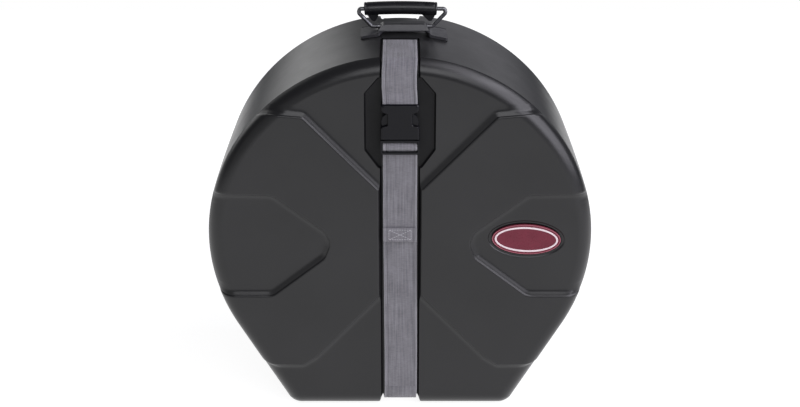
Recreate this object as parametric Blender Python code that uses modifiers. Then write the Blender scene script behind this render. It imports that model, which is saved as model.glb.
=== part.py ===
"""A D-shaped moulded drum case: a deep front shell, a shallow lid that slips into
its rear rim, a carrying handle on top and one webbing strap that runs all the way
round and closes with a side-release buckle. Metres, +Z up, the front faces -Y, and
the case stands on its flat side. The origin is at the middle of the bottom.

The helpers below take millimetres, measured from the centre of the round outline
(x, z) and from the middle of the case's depth (y)."""

import math

import bmesh
import bpy
from mathutils import Matrix, Vector

MM = 0.001

# Outline of the shell
R_FRONT = 227.0  # radius of the round part at the front rim
DRAFT = 4.2  # how much smaller that radius is at the rear rim
H_BOTTOM = 225.4  # centre of the round part to the flat side it stands on
SIDE = math.radians(60.3)  # where the straight sides leave the circle, from below
R_CORNER = 16.0
Y_FACE = -103.0  # raised front face
Y_ROUND = -85.0  # where the front rounding ends
Y_RIM = 88.0  # rear rim of the front shell
WALL = 4.2
R_ROUND = 18.0

# Lid
R_LID = 220.9
H_LID = 223.4
Y_LID = 88.6
Y_LID_ROUND = 93.0
Y_BACK = 108.0
R_LID_ROUND = 15.0
R_SKIRT = 218.1
SKIRT = 3.5
Y_SKIRT = 66.5

# Moulded relief
RECESS = 4.7
CHANNEL = 6.3  # strap channel and buckle pocket, below the raised face
CHANNEL_HALF = 24.3
Z_TOP_CHANNEL = 223.8  # channel floor over the front top edge
Z_REAR_CHANNEL = 215.4  # and behind the handle
Z_LOW_CHANNEL = -217.0
Y_PAD = (-15.0, 73.3)  # the handle stands on this stretch, with no channel

# Strap
STRAP = 39.6
WEB = 1.6
LIFT = WEB / 2 + 0.3  # middle of the webbing above the floor it lies on

# Handle
Y_HANDLE = 14.2
X_BRACKET, X_BAIL, X_GRIP = 4.9, 2.5, 0.75  # each has a little play, to one side
Z_PIVOT = 231.1
WIRE = 2.4
GRIP_R = 7.8
GRIP_HALF = 42.8
Z_GRIP = 252.4
GRIP_ARCH = 1.4
FOOT_HALF = 51.5
SCREW_X, SCREW_Y = 41.8, 12.0

# Buckle
Z_MOUTH = 133.2
Z_BUCKLE = 176.6
PRONG_X, PRONG_Z = 11.0, 134.9

scene = bpy.context.scene
for old in list(bpy.data.objects):
    bpy.data.objects.remove(old, do_unlink=True)
scene.unit_settings.system = "METRIC"
scene.unit_settings.scale_length = 1.0

PARTS = bpy.data.collections.new("drum_case")
CUTTERS = bpy.data.collections.new("cutters")
scene.collection.children.link(PARTS)
scene.collection.children.link(CUTTERS)

CENTRE = Vector((0, 0, H_BOTTOM))  # of the round outline, in the part's frame


def material(name, colour, rough, metal=0.0):
    m = bpy.data.materials.new(name)
    m.use_nodes = True
    shader = m.node_tree.nodes["Principled BSDF"]
    shader.inputs["Base Color"].default_value = (*colour, 1)
    shader.inputs["Roughness"].default_value = rough
    shader.inputs["Metallic"].default_value = metal
    m.diffuse_color = (*colour, 1)
    return m


SHELL = material("shell_plastic", (0.055, 0.055, 0.06), 0.45)
BLACK = material("black_plastic", (0.02, 0.02, 0.022), 0.35)
RUBBER = material("grip_rubber", (0.022, 0.022, 0.026), 0.6)
STEEL = material("wire_steel", (0.45, 0.45, 0.45), 0.35, 1.0)
WEBBING = material("webbing", (0.22, 0.21, 0.24), 0.85)
FOAM = material("foam", (0.05, 0.05, 0.055), 0.95)
BADGE = material("badge", (0.25, 0.02, 0.05), 0.25)


def mesh_object(name, bm, mat=None, cutter=False, origin=None, smooth=40):
    """A named object from a bmesh in millimetres about the outline's centre. origin
    is where the object's own origin goes, in the same terms."""
    bmesh.ops.recalc_face_normals(bm, faces=bm.faces)
    at = Vector(origin or (0, 0, 0))
    bmesh.ops.transform(bm, matrix=Matrix.Scale(MM, 4) @ Matrix.Translation(-at), verts=bm.verts)
    mesh = bpy.data.meshes.new(name)
    bm.to_mesh(mesh)
    bm.free()
    ob = bpy.data.objects.new(name, mesh)
    ob.location = (at + CENTRE) * MM
    if cutter:
        CUTTERS.objects.link(ob)
        ob.hide_render = True
        ob.display_type = "WIRE"
    else:
        PARTS.objects.link(ob)
        mesh.materials.append(mat)
        mesh.shade_smooth()
        mesh.set_sharp_from_angle(angle=math.radians(smooth))
    return ob


def boolean(ob, other, operation="DIFFERENCE"):
    m = ob.modifiers.new(f"{operation.lower()}_{other.name}", "BOOLEAN")
    m.operation = operation
    m.object = other
    m.solver = "EXACT"
    return m


def loft(rings):
    """Joins equal rings of points into a closed body with flat ends."""
    bm = bmesh.new()
    rows = [[bm.verts.new(p) for p in ring] for ring in rings]
    n = len(rows[0])
    for a, b in zip(rows, rows[1:]):
        for i in range(n):
            j = (i + 1) % n
            bm.faces.new((a[i], a[j], b[j], b[i]))
    bm.faces.new(rows[0][::-1])
    bm.faces.new(rows[-1])
    return bm


def box(lo, hi):
    bm = bmesh.new()
    bmesh.ops.create_cube(bm, size=1)
    size = Vector(hi) - Vector(lo)
    for v in bm.verts:
        v.co = Vector(lo) + Vector([(c + 0.5) * s for c, s in zip(v.co, size)])
    return bm


def cylinder(radius, depth, centre, axis, segments=16):
    bm = bmesh.new()
    bmesh.ops.create_cone(
        bm, cap_ends=True, segments=segments, radius1=radius, radius2=radius, depth=depth
    )
    turn = Vector((0, 0, 1)).rotation_difference(Vector(axis).normalized()).to_matrix().to_4x4()
    bmesh.ops.transform(bm, matrix=Matrix.Translation(Vector(centre)) @ turn, verts=bm.verts)
    return bm


def from_curve(curve):
    """The mesh of a curve, with its caps welded on."""
    guide = bpy.data.objects.new("guide", curve)
    CUTTERS.objects.link(guide)
    graph = bpy.context.evaluated_depsgraph_get()
    mesh = bpy.data.meshes.new_from_object(guide.evaluated_get(graph))
    bm = bmesh.new()
    bm.from_mesh(mesh)
    bmesh.ops.remove_doubles(bm, verts=bm.verts, dist=1e-4)
    bpy.data.objects.remove(guide, do_unlink=True)
    bpy.data.meshes.remove(mesh)
    bpy.data.curves.remove(curve)
    return bm


def sheet(points, thickness):
    """A filled flat outline, extruded; it lies in its own x and y."""
    curve = bpy.data.curves.new("outline", "CURVE")
    curve.dimensions = "2D"
    curve.fill_mode = "BOTH"
    curve.extrude = thickness / 2
    line = curve.splines.new("POLY")
    line.points.add(len(points) - 1)
    for point, (u, v) in zip(line.points, points):
        point.co = (u, v, 0, 1)
    line.use_cyclic_u = True
    return from_curve(curve)


def prism_y(points, y0, y1):
    """A flat (x, z) outline carried from y0 to y1."""
    bm = sheet(points, abs(y1 - y0))
    turn = Matrix(((1, 0, 0, 0), (0, 0, -1, (y0 + y1) / 2), (0, 1, 0, 0), (0, 0, 0, 1)))
    bmesh.ops.transform(bm, matrix=turn, verts=bm.verts)
    return bm


def prism_x(points, half):
    """A flat (y, z) outline carried from -half to half."""
    bm = sheet(points, 2 * half)
    turn = Matrix(((0, 0, 1, 0), (1, 0, 0, 0), (0, 1, 0, 0), (0, 0, 0, 1)))
    bmesh.ops.transform(bm, matrix=turn, verts=bm.verts)
    return bm


def drafted(points, y0, points1, y1):
    """A flat (x, z) outline at y0 that becomes another one at y1."""
    return loft([[(x, y0, z) for x, z in points], [(x, y1, z) for x, z in points1]])


def radius_at(y):
    t = max(0.0, (y - Y_ROUND) / (Y_RIM - Y_ROUND))
    return R_FRONT - DRAFT * t**1.6


def outline(r, hb, rc, arc=48, corner=4):
    """The D: a circle of radius r with straight sides down to a flat at hb below its
    centre, and corners of radius rc."""
    s, c = math.sin(SIDE), math.cos(SIDE)
    cz = -hb + rc
    cx = (r - rc + cz * c) / s
    low = math.atan2(-c, s)
    points = [
        (cx + rc * math.cos(a), cz + rc * math.sin(a))
        for a in (-math.pi / 2 + (low + math.pi / 2) * i / corner for i in range(corner))
    ]
    sweep = math.pi - 2 * low
    points += [
        (r * math.cos(low + sweep * i / arc), r * math.sin(low + sweep * i / arc))
        for i in range(arc + 1)
    ]
    return points + [(-x, z) for x, z in points[corner - 1 :: -1]]


def ring(y, r, hb, rc, **kw):
    return [(x, y, z) for x, z in outline(r, hb, rc, **kw)]


def rounded(points, radii, steps=5):
    """A polygon or path with its corners rounded; a radius of 0 keeps a corner."""
    out = []
    n = len(points)
    for i, (p, rad) in enumerate(zip(points, radii)):
        p = Vector(p)
        if not rad:
            out.append(tuple(p))
            continue
        a = (Vector(points[i - 1]) - p).normalized()
        b = (Vector(points[(i + 1) % n]) - p).normalized()
        half = a.angle(b) / 2
        middle = p + (a + b).normalized() * rad / math.sin(half)
        u = p + a * rad / math.tan(half) - middle
        v = p + b * rad / math.tan(half) - middle
        whole = u.angle(v)
        for k in range(steps + 1):
            t = k / steps
            out.append(
                tuple(middle + (u * math.sin((1 - t) * whole) + v * math.sin(t * whole)) / math.sin(whole))
            )
    return out


def grown(points, d):
    """A polygon moved out by d (in for a negative d), its corners mitred."""
    area = sum(a[0] * b[1] - b[0] * a[1] for a, b in zip(points, points[1:] + points[:1]))
    d = d if area > 0 else -d
    out = []
    n = len(points)
    for i in range(n):
        p, q, r = (Vector(points[(i + k) % n]) for k in (-1, 0, 1))
        e, f = (q - p).normalized(), (r - q).normalized()
        m = Vector((e.y, -e.x)) + Vector((f.y, -f.x))
        m.normalize()
        out.append(tuple(q + m * d / max(0.3, m.dot(Vector((e.y, -e.x))))))
    return out


def mirrored(points):
    return [(-x, z) for x, z in points][::-1]


# ---------------------------------------------------------------- moulded relief
TOP_SECTOR = [
    (CHANNEL_HALF, 66), (110, 162), (154, 166), (260, 166), (260, 260), (CHANNEL_HALF, 260),
]
SIDE_POCKET = [
    (260, 62), (150, 60), (89, 12.5), (84.5, 0), (91, -17), (144, -59.5), (154, -66.4), (260, -66.4),
]
LOW_SECTOR = [
    (CHANNEL_HALF, -66), (CHANNEL_HALF, -260), (260, -260), (260, -166), (118, -166.5), (101.5, -155.5),
]
BUCKLE_POCKET = [
    (-25.5, 204.9), (-41, 187), (-41, 118), (-25.5, 96), (25.5, 96), (41, 118), (41, 187), (25.5, 204.9),
]


def relief(y_face, depth, out):
    """Cutters for the sunk fields of a face at y_face; out is -1 on the front and 1
    on the back. Their sides slope."""
    made = []
    for name, field in (("top", TOP_SECTOR), ("side", SIDE_POCKET), ("low", LOW_SECTOR)):
        for hand, points in (("right", field), ("left", mirrored(field))):
            mouth, floor = grown(points, 2.2), grown(points, -1.0)
            bm = drafted(mouth, y_face + out * 2.0, floor, y_face - out * depth)
            tag = "front" if out < 0 else "back"
            made.append(mesh_object(f"cut_{tag}_{name}_{hand}", bm, cutter=True))
    return made


def channel_core(inset):
    """Side view of what the strap runs round: the floors of its channel, and the pad
    under the handle, where the channel is closed."""
    y0, y1 = Y_FACE + CHANNEL + inset, Y_BACK - CHANNEL - inset
    low, top, rear = Z_LOW_CHANNEL + inset, Z_TOP_CHANNEL - inset, Z_REAR_CHANNEL - inset
    pad = (Y_PAD[0] + inset, Y_PAD[1] - inset)
    front, back = 14.0 - 0.5 * inset, 12.0 - 0.5 * inset
    return rounded(
        [(y0, low), (y0, top), (pad[0], top), (pad[0], 260), (pad[1], 260), (pad[1], rear), (y1, rear), (y1, low)],
        [front, front, 0, 0, 0, 0, back, back],
    )


def channel_cutter(name, half, inset):
    slab = mesh_object(name, box((-half, -125, -245), (half, 125, 245)), cutter=True)
    core = mesh_object(name + "_core", prism_x(channel_core(inset), half + 4), cutter=True)
    boolean(slab, core)
    return slab


channel = channel_cutter("cut_channel", CHANNEL_HALF, 0.0)
channel_inside = channel_cutter("cut_channel_inside", CHANNEL_HALF + WALL, WALL)

# ---------------------------------------------------------------- front shell
rings = []
for k in range(5):
    a = math.pi / 2 * (1 - k / 4)
    inset = R_ROUND * (1 - math.cos(a))
    rings.append(ring(Y_ROUND - R_ROUND * math.sin(a), R_FRONT - inset, H_BOTTOM - inset, R_CORNER - 0.6 * inset))
for y in (-45.0, 0.0, 45.0, Y_RIM):
    rings.append(ring(y, radius_at(y), H_BOTTOM, R_CORNER))
base_shell = mesh_object("base_shell", loft(rings), SHELL)
boolean(base_shell, channel)
for cutter in relief(Y_FACE, RECESS, -1):
    boolean(base_shell, cutter)
pocket = mesh_object(
    "cut_buckle_pocket",
    drafted(grown(BUCKLE_POCKET, 2.0), Y_FACE - 2, grown(BUCKLE_POCKET, -0.8), Y_FACE + CHANNEL),
    cutter=True,
)
boolean(base_shell, pocket)

inner_round = R_ROUND - WALL
y_in = Y_FACE + RECESS + WALL
rings = []
for k in range(4):
    a = math.asin((Y_ROUND - y_in) / inner_round) * (1 - k / 3)
    inset = inner_round * (1 - math.cos(a)) + WALL
    rings.append(ring(Y_ROUND - inner_round * math.sin(a), R_FRONT - inset, H_BOTTOM - inset, R_CORNER - 0.6 * inset))
for y in (-45.0, 0.0, 45.0, Y_RIM + 2.0):
    rings.append(ring(y, radius_at(y) - WALL, H_BOTTOM - WALL, R_CORNER - 0.6 * WALL))
cavity = mesh_object("cut_cavity", loft(rings), cutter=True)
boolean(cavity, channel_inside)
behind_pocket = mesh_object(
    "cut_behind_pocket", box((-45.5, -105, 90), (45.5, Y_FACE + CHANNEL + WALL, 212)), cutter=True
)
boolean(cavity, behind_pocket)
boolean(base_shell, cavity)

SLOT_HALF = STRAP / 2 + 1.1
front_slot = mesh_object("cut_front_slot", box((-SLOT_HALF, -21.2, 212), (SLOT_HALF, Y_PAD[0], 232)), cutter=True)
rear_slot = mesh_object(
    "cut_rear_slot", box((-SLOT_HALF, 66, Z_REAR_CHANNEL), (SLOT_HALF, 75, Z_REAR_CHANNEL + 3.2)), cutter=True
)
boolean(base_shell, front_slot)
boolean(base_shell, rear_slot)

EMBLEM = (149.0, 4.7)
EMBLEM_TURN = math.radians(-2.4)  # the badge sits a little askew


def ellipse(a, b, n=40):
    c, s = math.cos(EMBLEM_TURN), math.sin(EMBLEM_TURN)
    points = [(a * math.cos(2 * math.pi * i / n), b * math.sin(2 * math.pi * i / n)) for i in range(n)]
    return [(EMBLEM[0] + x * c - z * s, EMBLEM[1] + x * s + z * c) for x, z in points]


Y_FIELD = Y_FACE + RECESS
seat = mesh_object(
    "cut_badge_recess", drafted(ellipse(46.6, 25.0), Y_FIELD - 0.5, ellipse(44.2, 22.8), Y_FIELD + 1.4), cutter=True
)
boolean(base_shell, seat)


def radial(angle, r, y):
    return Vector((math.sin(angle) * r, y, math.cos(angle) * r))


SCREWS = [
    (tag, math.asin((X_BRACKET + sx * SCREW_X) / R_FRONT), Y_HANDLE + sy * SCREW_Y)
    for tag, sx, sy in (("1", -1, -1), ("2", 1, -1), ("3", -1, 1), ("4", 1, 1))
]
for tag, angle, y in SCREWS:
    hole = mesh_object(
        f"cut_screw_hole_{tag}", cylinder(2.5, 14, radial(angle, 223, y), radial(angle, 1, 0), 12), cutter=True
    )
    boolean(base_shell, hole)

# ---------------------------------------------------------------- lid
rings = [ring(Y_LID, R_LID, H_LID, R_CORNER)]
for k in range(5):
    a = math.pi / 2 * k / 4
    inset = R_LID_ROUND * (1 - math.cos(a))
    rings.append(ring(Y_LID_ROUND + R_LID_ROUND * math.sin(a), R_LID - inset, H_LID - inset, R_CORNER - 0.6 * inset))
lid_shell = mesh_object("lid_shell", loft(rings), SHELL)
h_skirt = H_BOTTOM - WALL - 0.5
skirt = mesh_object(
    "add_skirt", loft([ring(y, R_SKIRT, h_skirt, R_CORNER - 3) for y in (Y_SKIRT, Y_LID + 3)]), cutter=True
)
boolean(lid_shell, skirt, "UNION")
boolean(lid_shell, channel)
for cutter in relief(Y_BACK, RECESS - 0.7, 1):
    boolean(lid_shell, cutter)
r_in, h_in = R_SKIRT - SKIRT, h_skirt - SKIRT
rings = [ring(Y_SKIRT - 2, r_in, h_in, R_CORNER - 5)]
y_lid_in = Y_BACK - RECESS + 0.7 - WALL
for k in range(4):
    a = math.pi / 2 * k / 3
    inset = 8 * (1 - math.cos(a))
    rings.append(ring(y_lid_in - 8 + 8 * math.sin(a), r_in - inset, h_in - inset, R_CORNER - 5 - 0.5 * inset))
lid_cavity = mesh_object("cut_lid_cavity", loft(rings), cutter=True)
boolean(lid_cavity, channel_inside)
boolean(lid_shell, lid_cavity)
for tag, z0, z1 in (("top", 195, 235), ("low", -235, -195)):
    notch = mesh_object(
        f"cut_skirt_{tag}", box((-CHANNEL_HALF - WALL - 1, Y_SKIRT - 3, z0), (CHANNEL_HALF + WALL + 1, Y_LID - 0.2, z1)), cutter=True
    )
    boolean(lid_shell, notch)

# ---------------------------------------------------------------- foam lining
base_foam_wall = mesh_object(
    "base_foam_wall",
    loft([ring(y, 218.2, 220.5, 12, arc=36, corner=3) for y in (-83.7, 65.0)]),
    FOAM,
)
hollow = mesh_object(
    "cut_foam_hollow", loft([ring(y, 210.0, 208.4, 9, arc=36, corner=3) for y in (-90, 70)]), cutter=True
)
boolean(base_foam_wall, hollow)
for tag, lo, hi in (
    ("strap", (-22.0, -26, 214.9), (22.0, 70, 230)),
    ("screws", (X_BRACKET - 57, -8, 208.5), (X_BRACKET + 57, 36, 230)),
):
    boolean(base_foam_wall, mesh_object(f"cut_foam_{tag}", box(lo, hi), cutter=True))
base_foam_pad = mesh_object(
    "base_foam_pad", loft([ring(y, 217.3, 212.2, 12, arc=36, corner=3) for y in (-92.0, -84.0)]), FOAM
)
channel_room = channel_cutter("cut_foam_channel_room", 29.0, WALL + 0.45)
boolean(base_foam_pad, channel_room)
boolean(base_foam_wall, channel_room)
lid_foam_pad = mesh_object(
    "lid_foam_pad", loft([ring(y, 207.6, 210.0, 9, arc=36, corner=3) for y in (91.2, 99.4)]), FOAM
)
boolean(lid_foam_pad, channel_room)

# ---------------------------------------------------------------- handle
SLOPE = -0.028  # the shell's top falls towards the rear; the bracket lies on it


def arc_z(r, x):
    return math.sqrt(r * r - x * x)


r_foot = radius_at(Y_HANDLE) + 0.35
def foot(d, lift, hand):
    """A point of the bracket's foot, d from its middle, at a height above the shell."""
    x = X_BRACKET + hand * d
    return (x, arc_z(r_foot + lift, x))


front_view = []
for hand in (1, -1):
    under = [(X_BRACKET + hand * 24.5, 227.3)] + [foot(d, 0, hand) for d in (30.0, 37.0, 44.0, FOOT_HALF)]
    over = [foot(d, 3.5, hand) for d in (FOOT_HALF, 44.0, 37.0, 31.9)]
    over += [(X_BRACKET + hand * 25.6, 234.4), (X_BRACKET + hand * 23.6, 235.0)]
    front_view += (under + over)[::hand]
plan = [(-25, 11), (-28.5, 20), (-30, 21), (2 - FOOT_HALF, 21), (-FOOT_HALF, 19)]
plan = plan + [(x, -y) for x, y in plan[::-1]]
plan = plan + [(-x, y) for x, y in plan[::-1]]
bm = sheet(plan, 28)
bmesh.ops.transform(bm, matrix=Matrix.Translation((X_BRACKET, Y_HANDLE, 228)), verts=bm.verts)
plan_solid = mesh_object("cut_bracket_plan", bm, cutter=True)
bm = prism_y(front_view, -24, 24)
for v in bm.verts:
    v.co.z += SLOPE * v.co.y
    v.co.y += Y_HANDLE
handle_bracket = mesh_object("handle_bracket", bm, BLACK, smooth=30)
boolean(handle_bracket, plan_solid, "INTERSECT")
leaning = [(-24, 205), (-24, 228.6), (-10.9, 228.6), (-6.9, 236.2), (6.9, 236.2), (10.9, 228.6), (24, 228.6), (24, 205)]
hump = mesh_object("cut_bracket_hump", prism_x([(Y_HANDLE + y, z + SLOPE * y) for y, z in leaning], 75), cutter=True)
boolean(handle_bracket, hump, "INTERSECT")
for hand in (-1, 1):
    bore = mesh_object(
        f"cut_pivot_bore_{'left' if hand < 0 else 'right'}",
        cylinder(WIRE + 0.4, 22, (X_BRACKET + hand * 21.5, Y_HANDLE, Z_PIVOT), (1, 0, 0), 16),
        cutter=True,
    )
    boolean(handle_bracket, bore)
for tag, angle, y in SCREWS:
    hole = mesh_object(
        f"cut_foot_hole_{tag}", cylinder(2.3, 4.2, radial(angle, r_foot + 0.6, y), radial(angle, 1, 0), 12), cutter=True
    )
    boolean(handle_bracket, hole)

plate = []
for r in (218.4, 219.9):
    ends = [math.asin((X_BRACKET + d) / r) for d in (-50.0, 50.0)]
    arc = [ends[0] + (ends[1] - ends[0]) * i / 14 for i in range(15)]
    plate.append([(r * math.sin(a), r * math.cos(a)) for a in arc])
handle_plate = mesh_object(
    "handle_backing_plate", prism_y(plate[1] + plate[0][::-1], Y_HANDLE - 17.5, Y_HANDLE + 17.5), STEEL
)
for tag, angle, y in SCREWS:
    hole = mesh_object(
        f"cut_plate_hole_{tag}", cylinder(2.4, 8, radial(angle, 220, y), radial(angle, 1, 0), 12), cutter=True
    )
    boolean(handle_plate, hole)
    # A pan-head screw: its head lies under the plate, its tip in the foot.
    profile = [(0, 9.4), (1.5, 9.4), (2.0, 8.9), (2.0, 0.0), (3.9, 0.0), (3.9, -1.2), (3.0, -2.3), (0, -2.3)]
    bm = bmesh.new()
    line = [bm.verts.new((x, 0, z)) for x, z in profile]
    for a, b in zip(line, line[1:]):
        bm.edges.new((a, b))
    screw = mesh_object(f"handle_screw_{tag}", bm, STEEL)
    screw.location = (radial(angle, 218.1, y) + CENTRE) * MM
    screw.rotation_euler = (0, angle, 0)
    turned = screw.modifiers.new("turned", "SCREW")
    turned.steps = turned.render_steps = 14
    turned.use_merge_vertices = True
    turned.merge_threshold = 0.00001


def rod(name, path, radius, resolution, unit=1.0):
    """A round bar along a path, as a curve. Each length is multiplied by unit."""
    curve = bpy.data.curves.new(name, "CURVE")
    curve.dimensions = "3D"
    curve.bevel_depth = radius * unit
    curve.bevel_resolution = resolution
    curve.use_fill_caps = True
    line = curve.splines.new("POLY")
    line.points.add(len(path) - 1)
    for point, p in zip(line.points, path):
        point.co = (*(unit * Vector(p)), 1)
    return curve


def grip_line(x):
    return (X_GRIP + x, Y_HANDLE, Z_GRIP + GRIP_ARCH * (1 - (x / GRIP_HALF) ** 2))


leg = rounded(
    [(16, Y_HANDLE, Z_PIVOT), (36.0, Y_HANDLE, Z_PIVOT), (51.5, Y_HANDLE, 247.6), (50.0, Y_HANDLE, Z_GRIP), (45.4, Y_HANDLE, Z_GRIP)],
    [0, 3.5, 3.0, 2.4, 0],
    steps=4,
)
arch = [grip_line(GRIP_HALF * (1 - 2 * i / 10)) for i in range(11)]
wire = [(X_BAIL + x, y, z) for x, y, z in leg] + arch + [(X_BAIL - x, y, z) for x, y, z in leg[::-1]]
pivot = (0, Y_HANDLE, Z_PIVOT)
bail = rod("handle_bail", [Vector(p) - Vector(pivot) for p in wire], WIRE, 2, unit=MM)
bail.materials.append(STEEL)
handle_bail = bpy.data.objects.new("handle_bail", bail)
handle_bail.location = (Vector(pivot) + CENTRE) * MM
PARTS.objects.link(handle_bail)
handle_grip = mesh_object("handle_grip", from_curve(rod("grip", arch, GRIP_R, 4)), RUBBER, origin=pivot)
through = [(X_GRIP + GRIP_HALF + 4, Y_HANDLE, Z_GRIP)] + arch + [(X_GRIP - GRIP_HALF - 4, Y_HANDLE, Z_GRIP)]
bore = mesh_object("cut_grip_bore", from_curve(rod("grip_bore", through, WIRE + 0.35, 2)), cutter=True)
# Webs under the grip's ends keep it clear of the bracket; each passes beside the
# bracket's raised middle as the handle folds forward.
WEB_RIGHT = [(23.5, 247.4), (41.5, 247.4), (39.8, 243.0), (36.4, 237.9), (33.2, 237.9)]
WEB_LEFT = [(-41.5, 247.4), (-37.8, 243.0), (-33.6, 238.2), (-30.9, 237.6), (-28.6, 239.2), (-25.3, 247.4)]
for hand, points in (("right", WEB_RIGHT), ("left", WEB_LEFT)):
    points = [(X_GRIP + x, z) for x, z in points]
    web = mesh_object(f"add_grip_web_{hand}", prism_y(points, Y_HANDLE - 2.2, Y_HANDLE + 2.2), cutter=True)
    boolean(handle_grip, web, "UNION")
boolean(handle_grip, bore)

# ---------------------------------------------------------------- buckle, female half
Y_B0, Y_B1 = -108.0, -97.3  # front and back of the buckle
waist = [
    (-22.3, Z_MOUTH), (22.3, Z_MOUTH), (22.3, 147.0), (21.4, 149.5), (14.6, 150.5), (14.6, 166.5),
    (20.6, 168.3), (21.8, 170.0), (21.8, Z_BUCKLE - 1.5), (20.3, Z_BUCKLE),
]
waist = waist + [(-x, z) for x, z in waist[::-1] if (-x, z) not in waist]
buckle_female = mesh_object(
    "buckle_female",
    loft(
        [
            [(x * s, y, (z - 155) * t + 155) for x, z in waist]
            for y, s, t in ((Y_B1, 1.0, 1.0), (Y_B0 + 2.4, 1.0, 1.0), (Y_B0 + 0.8, 0.975, 0.985), (Y_B0, 0.93, 0.955))
        ]
    ),
    BLACK,
    smooth=30,
)
boolean(buckle_female, mesh_object("cut_throat", box((-17.7, -105.2, 120), (17.7, -99.9, 165.8)), cutter=True))
boolean(
    buckle_female,
    mesh_object("cut_loop_recess", box((-20.2, -105.2, 167.6), (20.2, -90, 182)), cutter=True),
)
bar = mesh_object("add_loop_bar", cylinder(1.6, 42, (0, -101.2, 172.5), (1, 0, 0), 12), cutter=True)
boolean(buckle_female, bar, "UNION")

# ---------------------------------------------------------------- buckle, male half
slide_origin = (0, -102.6, 125.0)
frame_plan = [(-22.2, 115.6), (22.2, 115.6), (22.2, 132.5), (17.3, 132.6), (17.3, 134.5), (-17.3, 134.5), (-17.3, 132.6), (-22.2, 132.5)]
buckle_male = mesh_object("buckle_male", prism_y(frame_plan, -106.6, -99.0), BLACK, origin=slide_origin, smooth=30)
for tag, lo, hi in (
    ("window", (-20.2, -120, 118.2), (20.2, -90, 128.2)),
    ("plug_front", (-30, -120, 132.7), (30, -104.8, 140)),
    ("plug_back", (-30, -100.3, 132.7), (30, -90, 140)),
    ("under_bar", (-20.2, -102.6, 110), (20.2, -90, 118.6)),
):
    boolean(buckle_male, mesh_object(f"cut_male_{tag}", box(lo, hi), cutter=True))
for tag, bm in (
    ("bar", cylinder(1.5, 42.0, (0, -100.5, 122.7), (1, 0, 0), 12)),
    ("tongue", box((-3.8, -104.2, 134.0), (3.8, -100.9, 158.0))),
):
    boolean(buckle_male, mesh_object(f"add_male_{tag}", bm, cutter=True), "UNION")

PRONG = [
    (10.0, 134.9), (12.6, 134.9), (13.5, 135.5), (15.5, 143), (16.9, 149.0), (17.1, 150.1), (20.8, 150.4),
    (21.3, 156), (19.2, 161.5), (14.8, 165.0), (10.8, 165.0), (11.8, 160), (13.6, 154), (12.3, 147), (10.0, 140), (9.2, 135.5),
]
for hand, points, sign in (("right", PRONG, 1), ("left", mirrored(PRONG), -1)):
    mesh_object(
        f"buckle_prong_{hand}", prism_y(points, -104.6, -100.6), BLACK, origin=(sign * PRONG_X, -102.6, PRONG_Z), smooth=30
    )

# ---------------------------------------------------------------- webbing


def webbing(name, path, origin=None):
    """Flat webbing along a path in the plane of y and z."""
    bm = bmesh.new()
    rows = [[bm.verts.new((x, y, z)) for x in (-STRAP / 2, STRAP / 2)] for y, z in path]
    for a, b in zip(rows, rows[1:]):
        bm.faces.new((a[0], a[1], b[1], b[0]))
    ob = mesh_object(name, bm, WEBBING, origin=origin)
    thick = ob.modifiers.new("thickness", "SOLIDIFY")
    thick.thickness = WEB * MM
    thick.offset = 0
    thick.use_even_offset = True
    return ob


Y_WEB = Y_FACE + CHANNEL - LIFT  # webbing on the floor of the front channel
Z_WEB_TOP = Z_TOP_CHANNEL + LIFT
Z_WEB_REAR = Z_REAR_CHANNEL + LIFT
Z_WEB_LOW = Z_LOW_CHANNEL - LIFT
Y_WEB_BACK = Y_BACK - CHANNEL + LIFT
loop = [(-101.2 + 2.75 * math.cos(a), 172.5 + 2.75 * math.sin(a)) for a in (math.pi * (2 - k / 8) for k in range(9))]
upper = [(Y_WEB, 196.0), (Y_WEB, 190.0), (-98.45, 179.0)] + loop
upper += [(-103.95, 179.0), (Y_WEB - 1.9, 190.0), (Y_WEB - 1.9, 198.5)]
over = rounded(
    [(Y_WEB, 207.0), (Y_WEB, Z_WEB_TOP), (-20.0, Z_WEB_TOP), (-15.8, Z_WEB_REAR), (Y_RIM - 0.3, Z_WEB_REAR)],
    [0, 14.9, 2.0, 2.0, 0],
)
webbing("strap_upper_run", upper + over)
webbing(
    "strap_rear_run",
    rounded(
        [(Y_LID + 0.1, Z_WEB_REAR), (Y_WEB_BACK, Z_WEB_REAR), (Y_WEB_BACK, Z_WEB_LOW), (Y_LID + 0.1, Z_WEB_LOW)],
        [0, 13.0, 13.0, 0],
    ),
)
webbing(
    "strap_bottom_run",
    rounded([(Y_RIM - 0.3, Z_WEB_LOW), (Y_WEB, Z_WEB_LOW), (Y_WEB, -196.0)], [0, 14.9, 0]),
)
webbing("strap_lower_run", [(Y_WEB, -195.7), (Y_WEB, 116.9)])
turn = [(-100.5 + 2.7 * math.cos(a), 124.0 + 2.7 * math.sin(a)) for a in (math.pi * k / 8 for k in range(9))]
webbing(
    "strap_tail",
    [(Y_WEB, 117.2)] + turn + rounded([(-103.2, 124.0), (-103.2, 121.2), (-100.1, 116.6), (-100.1, 4.0)], [0, 1.2, 2.5, 0])[1:],
    origin=slide_origin,
)

# ---------------------------------------------------------------- badge
emblem = mesh_object(
    "emblem_plate",
    loft([[(x, y, z) for x, z in ellipse(40.6 * s, 19.3 * s)] for y, s in ((Y_FIELD + 1.1, 1.0), (Y_FIELD - 0.6, 1.0), (Y_FIELD - 1.4, 0.97))]),
    BADGE,
)
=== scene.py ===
"""A D-shaped moulded drum case standing on its flat side: deep front shell, lid,
bail handle, and one webbing strap with a side-release buckle.

Shapes are worked out in millimetres, measured from the centre of the round outline
(x, z) and from the middle of the case's depth (y), and put into the scene in metres."""

import math

import bmesh
import bpy
from mathutils import Matrix, Vector


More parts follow.
